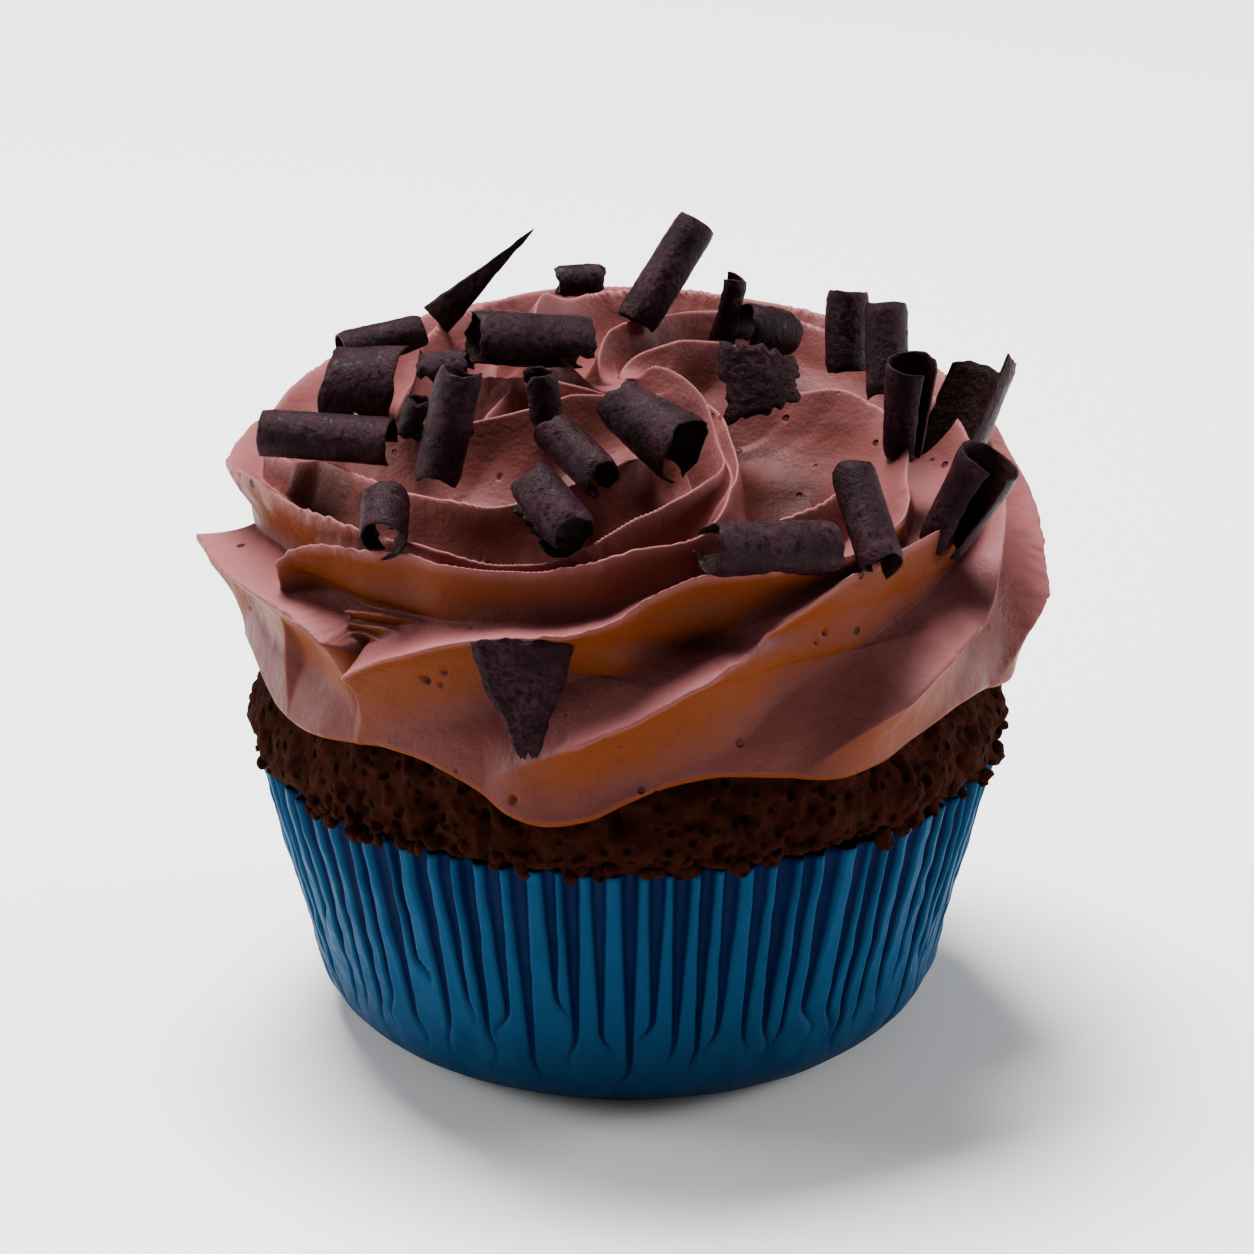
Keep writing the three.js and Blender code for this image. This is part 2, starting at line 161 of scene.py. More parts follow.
def make_mesh(name, points, quads, shares=None):
    """A smooth-shaded object from points in mm, with one number per vertex for each share."""
    mesh = bpy.data.meshes.new(name)
    mesh.vertices.add(len(points))
    mesh.vertices.foreach_set("co", (points * METRES).astype(np.float32).ravel())
    mesh.loops.add(quads.size)
    mesh.loops.foreach_set("vertex_index", quads.astype(np.int32).ravel())
    mesh.polygons.add(len(quads))
    mesh.polygons.foreach_set("loop_start", np.arange(0, quads.size, 4, dtype=np.int32))
    mesh.polygons.foreach_set("use_smooth", np.ones(len(quads), bool))
    for share, values in (shares or {}).items():
        layer = mesh.attributes.new(share, "FLOAT", "POINT")
        layer.data.foreach_set("value", np.asarray(values, np.float32).ravel())
    mesh.update()
    mesh.validate()
    obj = bpy.data.objects.new(name, mesh)
    bpy.context.scene.collection.objects.link(obj)
    return obj


def apply_modifiers(obj):
    graph = bpy.context.evaluated_depsgraph_get()
    obj.data = bpy.data.meshes.new_from_object(obj.evaluated_get(graph))
    obj.modifiers.clear()


def add_piece(obj, material, nodes):
    obj.data.materials.append(material)
    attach(obj, "root")
    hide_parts(*nodes)


# ---------------------------------------------------------------- materials


class Shader:
    """A node material put together one node at a time, ending in one Principled BSDF."""

    def __init__(self, name):
        self.material = bpy.data.materials.new(name)
        self.material.use_nodes = True
        self.nodes = self.material.node_tree.nodes
        self.links = self.material.node_tree.links
        self.surface = self.nodes["Principled BSDF"]

    def node(self, kind, inputs=None, **settings):
        made = self.nodes.new(kind)
        for name, value in settings.items():
            setattr(made, name, value)
        for name, value in (inputs or {}).items():
            self.put(made.inputs[name], value)
        return made

    def put(self, socket, value):
        if isinstance(value, bpy.types.NodeSocket):
            self.links.new(value, socket)
        else:
            socket.default_value = value

    def place(self):
        """The point of the object, in metres."""
        return self.node("ShaderNodeTexCoord").outputs["Object"]

    def share(self, name):
        return self.node("ShaderNodeAttribute", attribute_name=name).outputs["Fac"]

    def noise(self, per_metre, detail=3.0, roughness=0.55):
        inputs = {
            "Vector": self.place(),
            "Scale": per_metre,
            "Detail": detail,
            "Roughness": roughness,
        }
        return self.node("ShaderNodeTexNoise", inputs).outputs["Fac"]

    def cells(self, per_metre):
        inputs = {"Vector": self.place(), "Scale": per_metre}
        return self.node("ShaderNodeTexVoronoi", inputs).outputs["Distance"]

    def span(self, value, low, high, to_low=0.0, to_high=1.0):
        inputs = {
            "Value": value,
            "From Min": low,
            "From Max": high,
            "To Min": to_low,
            "To Max": to_high,
        }
        made = self.node("ShaderNodeMapRange", inputs, interpolation_type="SMOOTHSTEP")
        return made.outputs["Result"]

    def maths(self, operation, a, b):
        return self.node("ShaderNodeMath", {0: a, 1: b}, operation=operation).outputs[0]

    def mix(self, factor, a, b):
        made = self.node("ShaderNodeMix", data_type="RGBA")
        self.put(made.inputs[0], factor)
        self.put(made.inputs[6], a)
        self.put(made.inputs[7], b)
        return made.outputs[2]

    def upward(self):
        """The vertical part of the surface's direction, from -1 to 1."""
        normal = self.node("ShaderNodeNewGeometry").outputs["Normal"]
        return self.node("ShaderNodeSeparateXYZ", {0: normal}).outputs["Z"]

    def bumps(self, height, distance, under=None):
        inputs = {"Height": height, "Distance": distance, "Strength": 1.0}
        if under is not None:
            inputs["Normal"] = under
        return self.node("ShaderNodeBump", inputs).outputs["Normal"]

    def finish(self, **inputs):
        """Sets inputs of the surface, by their names in small letters, and gives the material."""
        sockets = {i.name.lower().replace(" ", "_"): i for i in self.surface.inputs}
        for name, value in inputs.items():
            self.put(sockets[name], value)
        return self.material


def colour(red, green, blue):
    return (red, green, blue, 1.0)


def frosting_material():
    """Pinkish brown, with painted light: ochre painted warm light where it faces down, painted light
    where it faces up, painted shade in its valleys and small pits, and a painted highlight on its
    crests.
    """
    s = Shader("buttercream")
    facing_down = s.span(s.upward(), 0.22, -0.4)
    facing_up = s.span(s.upward(), 0.45, 0.95, 0.0, 0.6)
    valley = s.span(s.share("deep"), 0.5, 1.25, 0.0, 0.88)
    crest = s.span(s.share("crest"), 0.3, 1.0, 0.0, 0.45)
    face = s.mix(s.noise(60), colour(0.078, 0.02, 0.016), colour(0.11, 0.031, 0.027))
    # Painted warm light from below, ochre on the faces that point down.
    painted_warm_underlight = s.mix(facing_down, face, colour(0.1, 0.019, 0.002))
    # Painted light from above on the faces that point up.
    lit = s.mix(facing_up, painted_warm_underlight, colour(0.2, 0.066, 0.068))
    # Painted shade in the valleys, darkest where they sink deepest.
    shadowed = s.mix(valley, lit, colour(0.035, 0.008, 0.006))
    # Painted highlight along the crests.
    painted_crest_highlight = s.mix(crest, shadowed, colour(0.26, 0.092, 0.095))
    pits = s.span(s.cells(330), 0.09, 0.16)
    sparse = s.span(s.noise(45, 1.0), 0.55, 0.62)
    pitted = s.maths("MAXIMUM", pits, s.maths("SUBTRACT", 1.0, sparse))
    # Painted shade in the small pits.
    base = s.mix(pitted, colour(0.03, 0.008, 0.006), painted_crest_highlight)
    grain = s.bumps(s.noise(2600, 4.0), 0.00006)
    waves = s.bumps(s.noise(420, 3.0), 0.00022, grain)
    normal = s.bumps(pitted, 0.0003, waves)
    s.surface.subsurface_method = "RANDOM_WALK"
    return s.finish(
        base_color=base,
        roughness=s.span(s.noise(300), 0.3, 0.7, 0.42, 0.58),
        normal=normal,
        subsurface_weight=0.04,
        subsurface_radius=(0.002, 0.0009, 0.0006),
        subsurface_scale=0.6,
        specular_ior_level=0.06,
    )


def cake_material():
    """Dark red-brown crumb, mottled and full of small holes with painted shade in them."""
    s = Shader("chocolate_crumb")
    darker, lighter = colour(0.006, 0.001, 0.0006), colour(0.036, 0.008, 0.003)
    mottled = s.mix(s.noise(350, 5.0, 0.7), darker, lighter)
    holes = s.span(s.cells(700), 0.05, 0.4)
    # Painted shade in the holes.
    base = s.mix(holes, colour(0.003, 0.001, 0.001), mottled)
    rough = s.bumps(s.noise(1500, 5.0, 0.75), 0.0004)
    return s.finish(
        base_color=base,
        roughness=0.88,
        normal=s.bumps(holes, 0.0006, rough),
        specular_ior_level=0.02,
    )


def case_material():
    """Blue paper: navy in its grooves, partly its dye and partly painted shade, and darker towards
    its base.
    """
    s = Shader("blue_baking_paper")
    groove = s.span(s.share("groove"), 0.12, 0.6, 0.0, 0.9)
    base = s.span(s.share("height"), 0.45, 0.05, 0.0, 0.7)
    cloudy = s.mix(s.noise(110, 4.0), colour(0.0, 0.029, 0.076), colour(0.0, 0.04, 0.1))
    # Navy in the grooves: partly the paper's dye, partly painted shade.
    shaded = s.mix(groove, cloudy, colour(0.0, 0.003, 0.03))
    # Darker towards the base.
    darker_towards_base = s.mix(base, shaded, colour(0.0, 0.012, 0.04))
    fibres = s.bumps(s.noise(2200, 5.0, 0.7), 0.00005)
    return s.finish(
        base_color=darker_towards_base,
        roughness=s.span(s.noise(500, 4.0), 0.3, 0.7, 0.5, 0.65),
        normal=s.bumps(s.noise(260, 3.0), 0.0002, fibres),
        specular_ior_level=0.05,
    )


def chocolate_material():
    """Almost black, with speckled brown patches on the outside of each curl: partly bloomed
    chocolate, partly painted sheen.
    """
    s = Shader("dark_chocolate")
    speckle = s.span(s.noise(1500, 5.0, 0.75), 0.38, 0.68)
    patches = s.span(s.noise(260, 3.0), 0.35, 0.65)
    bloom_and_sheen = s.maths("MULTIPLY", speckle, patches)
    # Paler speckles on the outside: partly bloomed chocolate, partly painted sheen.
    outside = s.mix(bloom_and_sheen, colour(0.009, 0.002, 0.004), colour(0.042, 0.015, 0.02))
    base = s.mix(s.share("inside"), outside, colour(0.008, 0.0015, 0.0015))
    scraped = s.bumps(s.noise(900, 5.0, 0.7), 0.00012)
    return s.finish(
        base_color=base,
        roughness=s.span(bloom_and_sheen, 0.0, 1.0, 0.36, 0.7),
        normal=s.bumps(speckle, 0.00005, scraped),
        specular_ior_level=0.05,
    )


# ---------------------------------------------------------------- baking case

CASE_SLOPE = (CASE_RIM_RADIUS - CASE_BASE_RADIUS) / CASE_HEIGHT


def case_radius(z):
    corner = np.maximum(0, CASE_CORNER - z)
    return CASE_BASE_RADIUS + CASE_SLOPE * z - (CASE_CORNER - np.sqrt(CASE_CORNER**2 - corner**2))


def pleats(azimuth, z):
    """How far the paper is folded in, in mm, at each azimuth and height, and as a share."""
    random = np.random.default_rng(5)
    pitch = 360 / PLEATS
    centres = (np.arange(PLEATS) + random.uniform(-0.16, 0.16, PLEATS)) * pitch
    long = np.arange(PLEATS) % 2 == 0
    reach = np.where(long, random.uniform(0.5, 5, PLEATS), random.uniform(3, 12, PLEATS))
    fade = np.where(long, 9, 6) * random.uniform(0.7, 1.2, PLEATS)
    depth = PLEAT_DEPTH * np.where(long, 1.05, 0.9) * random.uniform(0.8, 1.15, PLEATS)
    width = np.where(long, 0.5, 0.42) * random.uniform(0.85, 1.15, PLEATS)
    hook = random.choice((-1, 1), PLEATS) * random.uniform(0.2, 0.7, PLEATS)
    lean = random.uniform(-0.12, 0.12, PLEATS)
    folded = np.zeros(np.broadcast(azimuth, z).shape)
    share = np.zeros_like(folded)
    for i in range(PLEATS):
        here = np.abs(around(azimuth[0], centres[i])) < 1.4 * pitch
        high = z / CASE_HEIGHT
        drift = pitch * (lean[i] * (1 - high) + hook[i] * bump(z, reach[i] + 0.35 * fade[i], 1.4))
        away = np.abs(around(azimuth[:, here], centres[i] + drift)) / pitch
        grown = smoothstep(z, reach[i], reach[i] + fade[i])
        half = width[i] * (0.3 + 0.7 * smoothstep(z, reach[i], CASE_HEIGHT))
        across = 1 - smoothstep(away, 0.25 * half, half)
        deep = depth[i] * (0.25 + 0.75 * high) * grown * across
        folded[:, here] = np.maximum(folded[:, here], deep)
        share[:, here] = np.maximum(share[:, here], grown * across)
    return folded, share


def paper_case():
    """The outside and inside of one sheet, meeting at the rim, with a flat floor."""
    columns = PLEATS * 14
    rows = 64
    azimuth = np.linspace(0, 360, columns, endpoint=False)[None, :]
    lift = (np.linspace(0, 1, rows) ** 1.25 * CASE_HEIGHT)[:, None]
    folded, share = pleats(azimuth, lift)
    outer = case_radius(lift) + 0.5 * PLEAT_DEPTH * smoothstep(lift, 3, CASE_HEIGHT) - folded
    crumple = polar(azimuth, outer, lift)
    outer = outer + 0.2 * noise(crumple, 5) + 0.16 * noise(crumple, 2) * smoothstep(lift, 1, 6)
    ragged = 0.25 * noise(crumple, 3) * smoothstep(lift, 20, CASE_HEIGHT)
    outside = polar(azimuth, outer, lift + ragged)
    inside = polar(azimuth, outer - PAPER_THICKNESS, np.maximum(lift + ragged, PAPER_THICKNESS))
    floor_out = polar(azimuth, np.array([[0.01], [0.9]]) * outer[:1], 0.0)
    floor_in = polar(azimuth, np.array([[0.9], [0.01]]) * outer[:1], PAPER_THICKNESS)
    points = np.concatenate([floor_out, outside, inside[::-1], floor_in])
    plain = np.zeros((2, columns))
    groove = np.concatenate([plain, share, share[::-1], plain])
    quads = grid_faces(len(points), columns, closed=True)
    shares = {"groove": groove, "height": points[..., 2] / CASE_HEIGHT}
    return make_mesh("baking_case", points.reshape(-1, 3), quads, shares)


# ---------------------------------------------------------------- cake

DOME = Curve([[0, 1], [0.36, 0.94], [0.69, 0.77], [0.88, 0.56], [0.955, 0.34], [1, 0]])


def crumb_outline():
    """[radius, z] up the cake's wall, out over the rim, up the band and over the dome."""
    wall = [[max(0.0, float(case_radius(z))) - 1.3, z] for z in (0.7, 2.5, 6, 15, CASE_HEIGHT)]
    across = 1 - np.linspace(0, 1, 26) ** 1.6
    dome = [[BAND_RADIUS * a, BAND_TOP + DOME_HEIGHT * float(DOME(a))] for a in across]
    band = [
        [BAND_RADIUS - 1.0, BAND_BOTTOM],
        [BAND_RADIUS + 0.1, BAND_BOTTOM + 0.9],
        [BAND_RADIUS + 0.2, BAND_BOTTOM + 2],
    ]
    return np.array([[0.01, 0.7]] + wall + band + dome)


def cake():
    """One baked crumb, rough where it shows, with loose crumbs along the rim."""
    outline = crumb_outline()
    rows = 170
    columns = 1100
    steps = np.linalg.norm(np.diff(outline, axis=0), axis=1)
    detail = np.where((outline[1:, 1] > 26) & (outline[1:, 0] > 20), 4.0, 1.0)
    length = np.concatenate([[0], np.cumsum(steps * detail)])
    at = np.linspace(0, length[-1], rows)
    radius = np.interp(at, length, outline[:, 0])[:, None]
    z = np.interp(at, length, outline[:, 1])[:, None]
    azimuth = np.linspace(0, 360, columns, endpoint=False)[None, :]
    smooth = polar(azimuth, radius, z)
    shown = smoothstep(z, 26.5, 28.5)
    lumps = 0.55 * noise(smooth, 3.1) + 0.42 * noise(smooth, 1.5) + 0.26 * noise(smooth, 0.7)
    holes = 0.9 * smoothstep(noise(smooth + 40, 1.3), 0.25, 0.8)
    sag = 0.5 * noise(smooth + 20, 2.4) * shown * smoothstep(z, 31, 28)
    points = polar(azimuth, radius + shown * (lumps - holes), z + sag)
    quads = grid_faces(rows, columns, closed=True)
    return make_mesh("crumb", points.reshape(-1, 3), quads)


def crumbs():
    """Loose crumbs that hang over the rim of the case."""
    random = np.random.default_rng(3)
    rows, columns = 9, 12
    up = np.linspace(-89, 89, rows)[:, None]
    turn = np.linspace(0, 360, columns, endpoint=False)[None, :]
    ball = polar(turn, np.cos(np.radians(up)), np.sin(np.radians(up))).reshape(-1, 3)
    points, quads = [], []
    for i in range(260):
        size = random.uniform(0.3, 0.85)
        place = polar(random.uniform(0, 360), BAND_RADIUS + random.uniform(-0.8, 0.2), 0)
        place[2] = random.uniform(27.5, 29.6)
        shape = ball * size * random.uniform(0.7, 1.3, 3)
        shape = shape * (1 + 0.35 * noise(ball + 7.3 * i, 0.8))[:, None]
        points.append(place + shape)
        quads.append(grid_faces(rows, columns, i * rows * columns, closed=True))
    return make_mesh("loose_crumbs", np.concatenate(points), np.concatenate(quads))


# ---------------------------------------------------------------- buttercream swirl

OUTLINE_RADIUS = Curve(
    [[0, 0.92], [0.15, 0.975], [0.3, 1], [0.42, 0.992], [0.52, 0.934], [0.62, 0.833],
     [0.75, 0.631], [0.88, 0.328], [1, 0]]
)
OUTLINE_HEIGHT = Curve(
    [[0, 0], [0.15, 0.139], [0.3, 0.333], [0.42, 0.5], [0.52, 0.653], [0.62, 0.75],
     [0.75, 0.836], [0.88, 0.917], [1, 1]]
)
# How far up a ridge is, for each angle that it has turned since it began.
RIDGE_CLIMB = Curve(
    [[0, 0.19], [10, 0.28], [20, 0.35], [32, 0.43], [43, 0.51], [52, 0.55], [65, 0.58],
     [95, 0.6], [112, 0.64], [125, 0.68], [143, 0.72], [160, 0.75], [180, 0.81], [208, 0.92],
     [240, 0.96], [300, 0.985], [360, 1]]
)
# For each share of the way up: how deep the valleys are, and how far a ridge reaches down
# on its outer side and up on its inner side.
VALLEY_DEPTH = Curve(
    [[0.1, 1.2], [0.25, 4], [0.4, 6], [0.6, 6.4], [0.8, 6.4], [0.93, 5], [1, 3]]
)
OUTER_REACH = Curve([[0.1, 7], [0.4, 10], [0.6, 7], [0.8, 5], [0.95, 3], [1, 2]])
INNER_REACH = Curve([[0.1, 1.6], [0.5, 1.7], [0.8, 1.3], [1, 0.6]])
# Azimuth, share up, their widths, and depth of hollows. The first is behind a pressed-in
# shard, and the one with a depth below 0 stands out as a tip.
HOLLOWS = [
    (-12, 0.42, 9, 0.09, 1.6),
    (64, 0.835, 18, 0.055, 4.5),
    (98, 0.89, 20, 0.04, 3),
    (38, 0.8, 11, 0.04, 2),
    (22, 0.885, 22, 0.04, 2.5),
    (207, 0.8, 7, 0.035, -3),
    (14, 0.505, 9, 0.022, 1.8),
    (-52, 0.473, 6, 0.016, 1.2),
]
# Azimuth, share up and radius of the larger air holes.
AIR_HOLES = [(-29.5, 0.39, 0.55), (-26.5, 0.412, 0.4), (-27.5, 0.382, 0.35), (-16, 0.176, 0.5),
             (-14.5, 0.521, 0.5), (30, 0.486, 0.4), (28.5, 0.471, 0.3), (14, 0.741, 0.3),
             (7.5, 0.75, 0.3), (-26.5, 0.691, 0.45)]
SMALL_HOLES = 90
HOLE_DEPTH = 1.3                  # of an air hole, as a share of its radius
DEEPEST = 7.5                     # how far sunk a valley is where its painted shade is darkest
OUTER_HOLLOW = 1.5                # how hollow a ridge's outer side is: 1 is flat
LIP_WIDTH = 1.7                   # of the part of a crest that leans over
CREST_WIDTH = 0.9                 # of the painted highlight along a crest
LOWEST_SHARE = 0.15               # where the swirl's rows start on the outline
EDGE_ROLL = [(0.0, 0.0), (-0.1, -0.35), (-0.45, -0.6), (-1.0, -0.55), (-1.8, 0.0)]


def swirl_outline(azimuth, up):
    """[radius, z] of the shape that the ridges touch."""
    rise = BACK_RISE * np.maximum(0, -np.cos(np.radians(azimuth)))
    rise = rise * smoothstep(up, 0.3, 0.6) * OUTLINE_RADIUS(up)
    left = LEFT_FULLNESS * bump(around(azimuth, LEFT_AZIMUTH), 0, LEFT_SPREAD)
    radius = FROSTING_RADIUS * OUTLINE_RADIUS(up) + left * bump(up, 0.6, 0.08)
    z = OUTLINE_BOTTOM + OUTLINE_RISE * OUTLINE_HEIGHT(up) + rise
    return np.stack([radius, z - LEFT_SAG * left * bump(up, 0.57, 0.045)], axis=-1)


def lower_edge_height(azimuth):
    phase = (azimuth - FIRST_RIDGE) / TOOTH
    lobe = np.cos(2 * np.pi * (phase - LOBE_PHASE))
    deepest = bump(around(azimuth, DEEPEST_LOBE), 0, DEEPEST_LOBE_SPREAD)
    return LIP_HEIGHT + LIP_CREST_RISE - LOBE_DIP * (0.35 * (1 + lobe) + deepest)


def climb(ridge, changed=(), begins=False, ends=False):
    """[azimuth, share up, strength] along a ridge, with some of it laid differently."""
    start = FIRST_RIDGE + ridge * TOOTH
    points = []
    for turned in range(0, 361, 15):
        strength = min(1, turned / 12, max(0, (270 - turned) / 60))
        points.append((start + turned, float(RIDGE_CLIMB(turned)), strength))
    if changed:
        before = [] if begins else [p for p in points if p[0] < changed[0][0] - 8]
        after = [] if ends else [p for p in points if p[0] > changed[-1][0] + 8]
        points = before + [tuple(p) for p in changed] + after
    return points


# Each ridge has its points, how far its crest leans over, and how wide it is.
SWIRL_RIDGES = [
    (climb(0), 1.0, 1.0),
    (climb(1), 1.2, 1.0),
    (climb(2), 1.0, 1.0),
    (climb(3), 1.0, 1.0),
    (climb(4, [(253, 0.62, 0.85), (284, 0.664, 0.95), (288, 0.692, 1), (301, 0.706, 1),
               (318, 0.717, 1), (331, 0.726, 1), (338, 0.748, 1), (346, 0.79, 0.9), (358, 0.84, 0.9),
               (380, 0.91, 0.9)]), 1.1, 0.9),
    (climb(5, [(277, 0.594, 1.15), (288, 0.611, 1.1), (298, 0.62, 1), (311, 0.632, 1),
               (325, 0.638, 0.9), (337, 0.634, 0.8), (347, 0.652, 0.8), (353, 0.68, 0.9),
               (362, 0.727, 1), (383, 0.802, 1), (392, 0.842, 1), (402, 0.885, 1),
               (423, 0.948, 1), (450, 0.975, 0.8), (490, 0.99, 0)], ends=True), 1.1, 0.8),
    (climb(6, [(276, 0.435, 1.2), (292, 0.446, 1.1), (307, 0.441, 1), (315, 0.409, 0.9),
               (320, 0.375, 0)], ends=True), 1.2, 0.9),
    (climb(6, [(300, 0.48, 0), (301, 0.51, 0.9), (303, 0.555, 1), (310, 0.588, 1), (316, 0.598, 1),
               (325, 0.608, 1), (332, 0.596, 1), (344, 0.605, 1), (350, 0.62, 1), (362, 0.665, 1),
               (372, 0.685, 1), (377, 0.715, 1), (385, 0.78, 1), (394, 0.828, 1), (409, 0.885, 1),
               (430, 0.93, 0.6), (450, 0.95, 0)], begins=True, ends=True), 1.3, 0.9),
    (climb(7, [(317, 0.34, 0), (319, 0.355, 0.9), (326, 0.412, 1), (335, 0.458, 1), (343, 0.485, 1),
               (351, 0.503, 0.9), (357, 0.522, 0.95), (364, 0.562, 1.1), (374, 0.588, 1.15),
               (384, 0.588, 1.15), (394, 0.587, 1.1), (407, 0.62, 1.1), (420, 0.687, 1.15),
               (446, 0.763, 1.15), (454, 0.8, 1.1), (462, 0.838, 1), (475, 0.862, 1)],
           begins=True), 2.1, 1.0),
    ([(360, 0.71, 0), (375, 0.715, 0.75), (392, 0.72, 0.85), (410, 0.745, 0.8), (430, 0.8, 0)],
     0.0, 0.7),
    ([(314, 0.442, 0), (316, 0.443, 0.4), (325, 0.452, 0.3), (337, 0.462, 0)], 0.4, 0.3),
    ([(313, 0.452, 0), (315, 0.456, 0.45), (325, 0.472, 0.35), (340, 0.487, 0)], 0.5, 0.3),
    ([(311, 0.465, 0), (314, 0.474, 0.55), (322, 0.492, 0.4), (338, 0.52, 0)], 0.7, 0.3),
    ([(325, 0.77, 0), (330, 0.765, 0.6), (338, 0.775, 0.6), (345, 0.8, 0)], 0.5, 0.3),
    ([(245, 0.92, 0), (252, 0.915, 0.8), (280, 0.896, 0.9), (297, 0.86, 0.8), (312, 0.85, 0)],
     0.8, 0.4),
]


def arc_length(up):
    """Distance along the outline from its bottom, in mm."""
    fine = np.linspace(0, 1, 4000)
    steps = np.hypot(
        np.diff(FROSTING_RADIUS * OUTLINE_RADIUS(fine)),
        np.diff(OUTLINE_RISE * OUTLINE_HEIGHT(fine)),
    )
    return np.interp(up, fine, np.concatenate([[0], np.cumsum(steps)]))


def ridge_heights(azimuth, up):
    """For a grid: height from 0 to 1, how far a crest leans over in mm, and nearness to it."""
    height = np.zeros(up.shape)
    lean = np.zeros(up.shape)
    near = np.zeros(up.shape)
    along = arc_length(up)
    outer, inner = OUTER_REACH(up), INNER_REACH(up)
    for points, lip, width in SWIRL_RIDGES:
        turns, shares, strengths = np.array(points, float).T
        line = Curve(np.stack([turns, shares], axis=-1))
        for whole in (-360, 0, 360, 720):
            turned = azimuth[0] + whole
            here = np.flatnonzero((turned > turns[0]) & (turned < turns[-1]))
            if len(here) == 0:
                continue
            share = line(turned[here])
            strength = np.interp(turned[here], turns, strengths)
            radius = np.maximum(2, FROSTING_RADIUS * OUTLINE_RADIUS(share))
            rise = arc_length(line(turned[here] + 1)) - arc_length(line(turned[here] - 1))
            slant = 1 / np.hypot(1, rise / (2 * np.radians(1) * radius))
            away = (along[:, here] - arc_length(share) - lip * strength) * slant
            above = np.exp(-np.maximum(0, away) / (inner[:, here] * width))
            below = np.clip(1 + np.minimum(0, away) / (outer[:, here] * width), 0, 1)
            below = below ** OUTER_HOLLOW
            height[:, here] = np.maximum(height[:, here], strength * above * below)
            leaning = strength * lip * np.exp(-((np.abs(away) / LIP_WIDTH) ** 1.5))
            lean[:, here] = np.maximum(lean[:, here], leaning)
            close = strength * np.exp(-np.abs(away) / CREST_WIDTH)
            near[:, here] = np.maximum(near[:, here], close)
    return height, lean, near


def dents(azimuth, up):
    """Depth of the hollows and of the air holes, in mm, at each point of a grid."""
    depth = np.zeros(up.shape)
    for centre, share, wide, high, deep in HOLLOWS:
        depth += deep * bump(around(azimuth, centre), 0, wide) * bump(up, share, high)
    random = np.random.default_rng(21)
    small = random.uniform([0, 0.2, 0.14], [360, 0.9, 0.3], (SMALL_HOLES, 3))
    for centre, share, size in AIR_HOLES + small.tolist():
        reach = 3 * math.degrees(size / (FROSTING_RADIUS * float(OUTLINE_RADIUS(share))))
        here = np.abs(around(azimuth[0], centre)) < reach
        radius = FROSTING_RADIUS * OUTLINE_RADIUS(up[:, here])
        aside = np.radians(around(azimuth[:, here], centre)) * radius
        away = np.hypot(aside, arc_length(up[:, here]) - arc_length(share))
        depth[:, here] += HOLE_DEPTH * size * np.exp(-((away / (0.8 * size)) ** 4))
    return depth


def swirl():
    """The whole swirl: an outline with valleys sunk into it between its ridges."""
    columns, rows = ((1440, 330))
    azimuth = np.linspace(0, 360, columns, endpoint=False)[None, :]
    edge = lower_edge_height(azimuth)
    low = np.linspace(0, 0.4, 400)
    first = np.interp(edge, OUTLINE_BOTTOM + OUTLINE_RISE * OUTLINE_HEIGHT(low), low)
    lengths = arc_length(np.linspace(LOWEST_SHARE, 1, 900))
    spaced = np.linspace(lengths[0], lengths[-1], rows)
    even = np.interp(spaced, lengths, np.linspace(0, 1, 900))[:, None]
    up = first + (1 - first) * even
    height, lean, near = ridge_heights(azimuth, up)
    outline = swirl_outline(azimuth, up)
    slope = np.gradient(outline, axis=0)
    slope /= np.maximum(1e-6, np.linalg.norm(slope, axis=-1))[..., None]
    outward = np.stack([slope[..., 1], -slope[..., 0]], axis=-1)
    sunk = VALLEY_DEPTH(up) * (1 - height) + dents(azimuth, up)
    section = outline - sunk[..., None] * outward - (lean * even ** 0.3)[..., None] * slope
    section[-1, :, 0] = 0.01
    rolled = [section[:1] + np.array(step) for step in EDGE_ROLL[:0:-1]]
    under = []
    for across in (0.01, 0.36, 0.69, 0.88):
        z = BAND_TOP + DOME_HEIGHT * float(DOME(across)) + UNDERSIDE_GAP
        under.append(np.broadcast_to([across * BAND_RADIUS, z], section[:1].shape))
    shoulder = [SHOULDER_SHARE * BAND_RADIUS, SHOULDER_HEIGHT]
    under.append(np.broadcast_to(shoulder, section[:1].shape))
    whole = np.concatenate(under + rolled + [section])
    hidden = np.zeros((len(whole) - rows, columns))
    crests = np.concatenate([hidden, near])
    # How sunk each point is, which the buttercream turns into painted shade.
    deep = np.concatenate([hidden, sunk / DEEPEST])
    points = polar(azimuth, whole[..., 0], whole[..., 1])
    points = points + roughened(points, crests)
    quads = grid_faces(len(whole), columns, closed=True)
    shares = {"crest": crests, "deep": deep}
    obj = make_mesh("buttercream_swirl", points.reshape(-1, 3), quads, shares)
    smooth = obj.modifiers.new("smooth", "SMOOTH")
    smooth.factor = 0.5
    smooth.iterations = 2
    apply_modifiers(obj)
    return obj


def roughened(points, crests):
    """Soft waves everywhere and small tears along the crests."""
    shift = np.stack([noise(points + 50 * i, 7) for i in range(3)], axis=-1) * 0.35
    shift += np.stack([noise(points + 70 * i, 2.6) for i in range(3)], axis=-1) * 0.1
    torn = np.stack([noise(points + 90 * i, 0.8) for i in range(3)], axis=-1) * 0.2
    return shift + torn * (crests * smoothstep(noise(points, 6), 0.0, 0.5))[..., None]


# ---------------------------------------------------------------- chocolate curls

